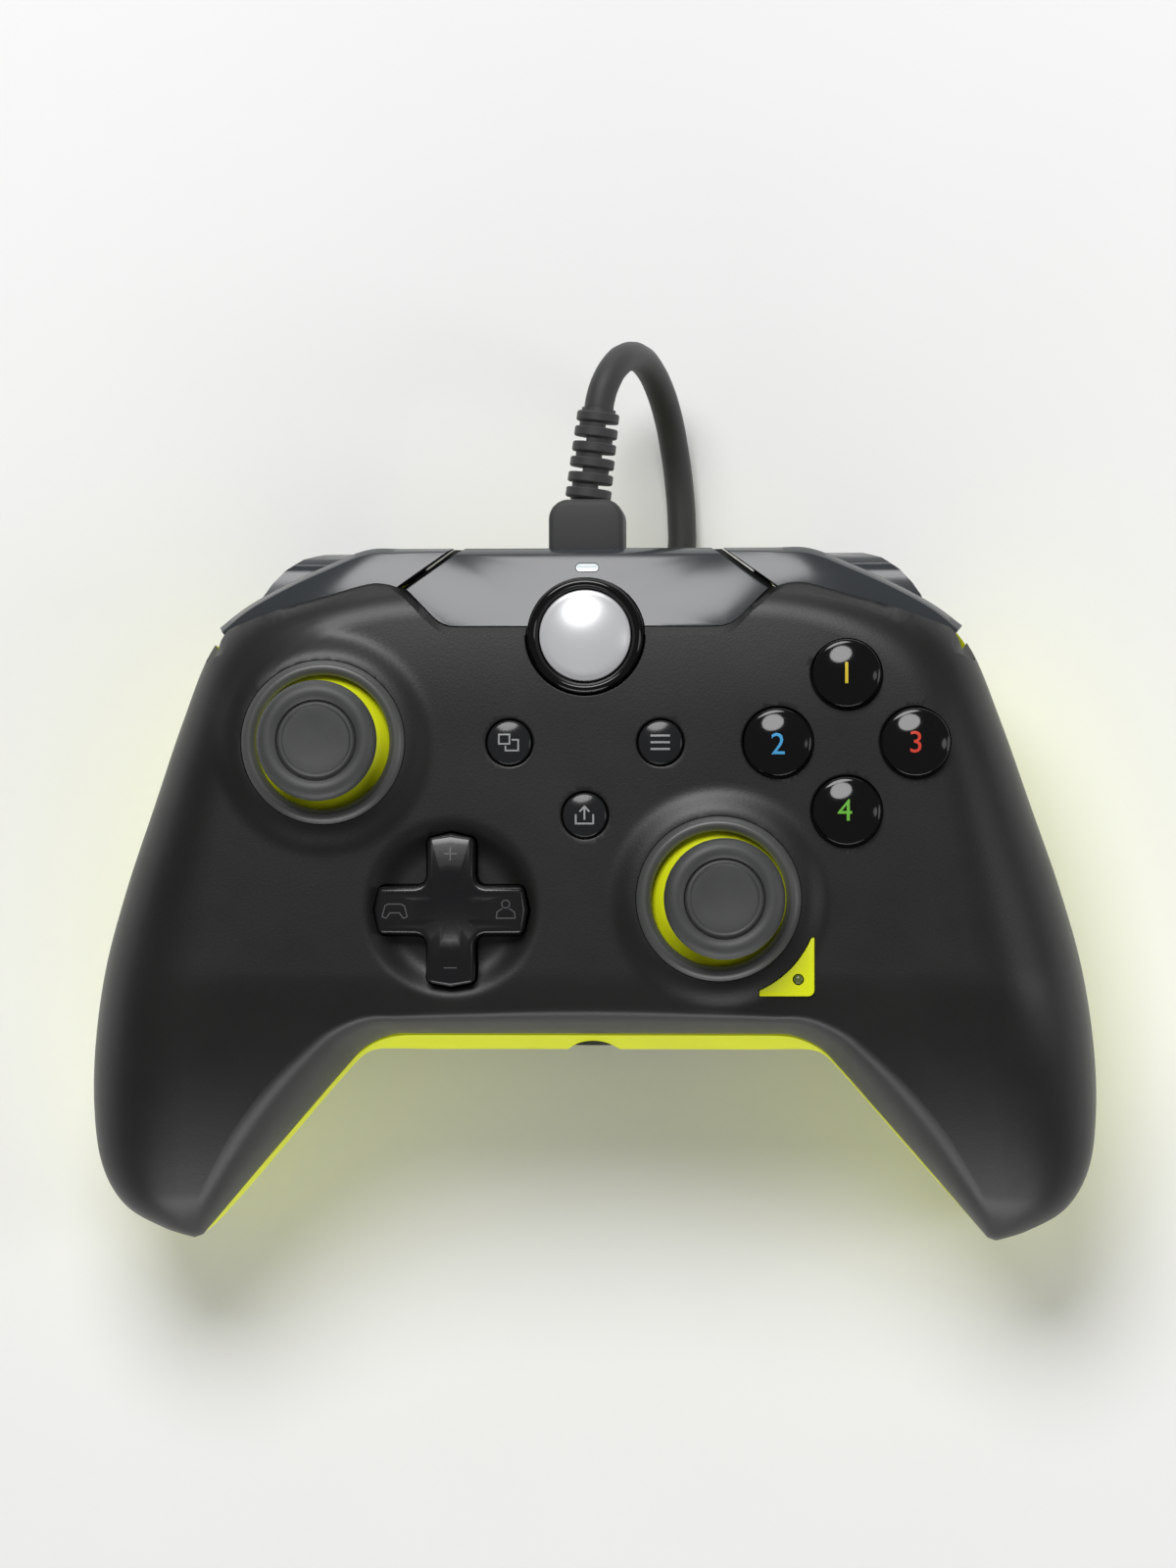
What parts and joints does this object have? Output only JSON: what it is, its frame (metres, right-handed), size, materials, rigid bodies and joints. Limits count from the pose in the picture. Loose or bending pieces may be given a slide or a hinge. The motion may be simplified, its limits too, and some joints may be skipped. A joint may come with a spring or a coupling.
{
  "type": "wired gamepad controller",
  "caption": "Handheld game controller with two tilting sticks, a cross pad, domed buttons, bumpers, triggers and a coiled cord with its plug.",
  "frame": {"origin": "middle of the footprint of the controller without its cord, on the surface it lies on", "axes": "+X to the right seen on the face, +Y towards the bumpers and the cord, +Z out of the face"},
  "size_m": [0.1534, 0.1382, 0.0613],
  "materials": {
    "shell_dark": "matte moulded texture",
    "lime": "satin",
    "gloss_grey": "polished",
    "black_gloss": "polished",
    "silver": "satin silver",
    "collar_grey": "satin",
    "cap_rubber": "matte",
    "clear": "frosted",
    "frame_grey": "moulded",
    "board_green": "solder mask",
    "chips": "moulded",
    "steel": "bright",
    "weights": "sintered",
    "membrane": "matte",
    "nylon": "moulded",
    "dark_nylon": "moulded",
    "cord_rubber": "smooth"
  },
  "bodies": {
    "casing": {"front_shell": "shell_dark", "rear_shell": "lime", "centre_panel": "gloss_grey", "guide_ring": "black_gloss", "light_pipe": "clear", "left_stick_ring": "collar_grey", "right_stick_ring": "collar_grey", "accent_inlay": "lime", "inlay_lamp": "clear", "mid_frame": "frame_grey", "main_board": "board_green", "board_parts": "chips", "usb_port": "steel", "audio_jack": "frame_grey", "face_membrane": "membrane", "dpad_membrane": "membrane", "small_button_membrane": "membrane", "left_rumble_motor": "steel", "right_rumble_motor": "steel", "trigger_pins": "steel", "left_trigger_spring": "steel", "right_trigger_spring": "steel", "shell_screws": "steel", "left_stick_module": "steel", "right_stick_module": "steel", "usb_plug": "cord_rubber", "strain_relief": "cord_rubber", "cord": "cord_rubber", "cord_coil": "cord_rubber", "cord_tie": "cord_rubber", "usb_a_plug": "cord_rubber", "usb_a_shell": "steel"},
    "guide_button": {"guide_button": "silver"},
    "view_button": {"view_button": "gloss_grey"},
    "menu_button": {"menu_button": "gloss_grey"},
    "share_button": {"share_button": "gloss_grey"},
    "face_button_1": {"face_button_1": "black_gloss"},
    "face_button_2": {"face_button_2": "black_gloss"},
    "face_button_3": {"face_button_3": "black_gloss"},
    "face_button_4": {"face_button_4": "black_gloss"},
    "dpad_pivot": {"dpad_pivot": "steel"},
    "dpad": {"dpad": "black_gloss"},
    "right_bumper": {"right_bumper": "gloss_grey"},
    "right_trigger": {"right_trigger": "gloss_grey"},
    "left_bumper": {"left_bumper": "gloss_grey"},
    "left_trigger": {"left_trigger": "gloss_grey"},
    "left_upper_rocker": {"left_upper_rocker": "nylon"},
    "left_cross_pin": {"left_cross_pin": "steel"},
    "left_stick": {"left_stick_shaft": "nylon", "left_stick_skirt": "lime", "left_stick_cap": "cap_rubber"},
    "left_lower_rocker": {"left_lower_rocker": "dark_nylon"},
    "right_upper_rocker": {"right_upper_rocker": "nylon"},
    "right_cross_pin": {"right_cross_pin": "steel"},
    "right_stick": {"right_stick_shaft": "nylon", "right_stick_skirt": "lime", "right_stick_cap": "cap_rubber"},
    "right_lower_rocker": {"right_lower_rocker": "dark_nylon"},
    "right_rumble_weight": {"right_rumble_weight": "weights"},
    "left_rumble_weight": {"left_rumble_weight": "weights"}
  },
  "joints": [
    {"name": "guide_press", "type": "slide", "parent": "casing", "child": "guide_button", "axis": [0, 0, -1], "range_m": [0, 0.0006], "stiffness_N_per_m": 2000},
    {"name": "view_press", "type": "slide", "parent": "casing", "child": "view_button", "axis": [0, 0, -1], "range_m": [0, 0.0008], "stiffness_N_per_m": 1000, "deforming": ["small_button_membrane"]},
    {"name": "menu_press", "type": "slide", "parent": "casing", "child": "menu_button", "axis": [0, 0, -1], "range_m": [0, 0.0008], "stiffness_N_per_m": 1000},
    {"name": "share_press", "type": "slide", "parent": "casing", "child": "share_button", "axis": [0, 0, -1], "range_m": [0, 0.0008], "stiffness_N_per_m": 1000},
    {"name": "face_1_press", "type": "slide", "parent": "casing", "child": "face_button_1", "axis": [0, 0, -1], "range_m": [0, 0.0015], "stiffness_N_per_m": 450, "deforming": ["face_membrane"]},
    {"name": "face_2_press", "type": "slide", "parent": "casing", "child": "face_button_2", "axis": [0, 0, -1], "range_m": [0, 0.0015], "stiffness_N_per_m": 450},
    {"name": "face_3_press", "type": "slide", "parent": "casing", "child": "face_button_3", "axis": [0, 0, -1], "range_m": [0, 0.0015], "stiffness_N_per_m": 450},
    {"name": "face_4_press", "type": "slide", "parent": "casing", "child": "face_button_4", "axis": [0, 0, -1], "range_m": [0, 0.0015], "stiffness_N_per_m": 450},
    {"name": "dpad_roll", "type": "hinge", "parent": "casing", "child": "dpad_pivot", "pos_m": [-0.02, -0.0025, 0.0484], "axis": [1, 0, 0], "range_deg": [-4, 4], "stiffness_Nm_per_rad": 0.4, "deforming": ["dpad_membrane"]},
    {"name": "dpad_rock", "type": "hinge", "parent": "dpad_pivot", "child": "dpad", "pos_m": [-0.02, -0.0025, 0.0484], "axis": [0, 1, 0], "range_deg": [-4, 4], "stiffness_Nm_per_rad": 0.4},
    {"name": "right_bumper_press", "type": "hinge", "parent": "casing", "child": "right_bumper", "pos_m": [0.0292, 0.0485, 0.038], "axis": [0, 0, -1], "range_deg": [0, 2.5], "stiffness_Nm_per_rad": 0.6},
    {"name": "right_trigger_pull", "type": "hinge", "parent": "casing", "child": "right_trigger", "pos_m": [0.041, 0.0415, 0.031], "axis": [-1, 0, 0], "range_deg": [0, 16], "stiffness_Nm_per_rad": 0.14, "deforming": ["right_trigger_spring"]},
    {"name": "left_bumper_press", "type": "hinge", "parent": "casing", "child": "left_bumper", "pos_m": [-0.0292, 0.0485, 0.038], "axis": [0, 0, 1], "range_deg": [0, 2.5], "stiffness_Nm_per_rad": 0.6},
    {"name": "left_trigger_pull", "type": "hinge", "parent": "casing", "child": "left_trigger", "pos_m": [-0.041, 0.0415, 0.031], "axis": [-1, 0, 0], "range_deg": [0, 16], "stiffness_Nm_per_rad": 0.14, "deforming": ["left_trigger_spring"]},
    {"name": "left_stick_forward", "type": "hinge", "parent": "casing", "child": "left_upper_rocker", "pos_m": [-0.0392, 0.0226, 0.0376], "axis": [1, 0, 0], "range_deg": [-16, 16], "stiffness_Nm_per_rad": 0.03},
    {"name": "left_stick_sideways", "type": "hinge", "parent": "left_upper_rocker", "child": "left_cross_pin", "pos_m": [-0.0392, 0.0226, 0.0376], "axis": [0, 1, 0], "range_deg": [-16, 16], "stiffness_Nm_per_rad": 0.03},
    {"name": "left_stick_click", "type": "slide", "parent": "left_cross_pin", "child": "left_stick", "axis": [0, 0, -1], "range_m": [0, 0.0005], "stiffness_N_per_m": 2400},
    {"name": "left_arch_turn", "type": "hinge", "parent": "casing", "child": "left_lower_rocker", "pos_m": [-0.0392, 0.0226, 0.0376], "axis": [0, 1, 0], "range_deg": [-16.5, 16.5]},
    {"name": "right_stick_forward", "type": "hinge", "parent": "casing", "child": "right_upper_rocker", "pos_m": [0.02, -0.0008, 0.0376], "axis": [1, 0, 0], "range_deg": [-16, 16], "stiffness_Nm_per_rad": 0.03},
    {"name": "right_stick_sideways", "type": "hinge", "parent": "right_upper_rocker", "child": "right_cross_pin", "pos_m": [0.02, -0.0008, 0.0376], "axis": [0, 1, 0], "range_deg": [-19, 13], "stiffness_Nm_per_rad": 0.03},
    {"name": "right_stick_click", "type": "slide", "parent": "right_cross_pin", "child": "right_stick", "axis": [-0.0523, 0, -0.9986], "range_m": [0, 0.0005], "stiffness_N_per_m": 2400},
    {"name": "right_arch_turn", "type": "hinge", "parent": "casing", "child": "right_lower_rocker", "pos_m": [0.02, -0.0008, 0.0376], "axis": [0, 1, 0], "range_deg": [-19.5, 13.5]},
    {"name": "right_rumble_spin", "type": "hinge", "parent": "casing", "child": "right_rumble_weight", "pos_m": [0.0585, -0.027, 0.022], "axis": [0, 1, 0], "continuous": true},
    {"name": "left_rumble_spin", "type": "hinge", "parent": "casing", "child": "left_rumble_weight", "pos_m": [-0.0585, -0.027, 0.022], "axis": [0, 1, 0], "continuous": true}
  ],
  "couplings": [
    {"joint": "left_arch_turn", "follows": "left_stick_sideways", "ratio": 1},
    {"joint": "right_arch_turn", "follows": "right_stick_sideways", "ratio": 1}
  ]
}
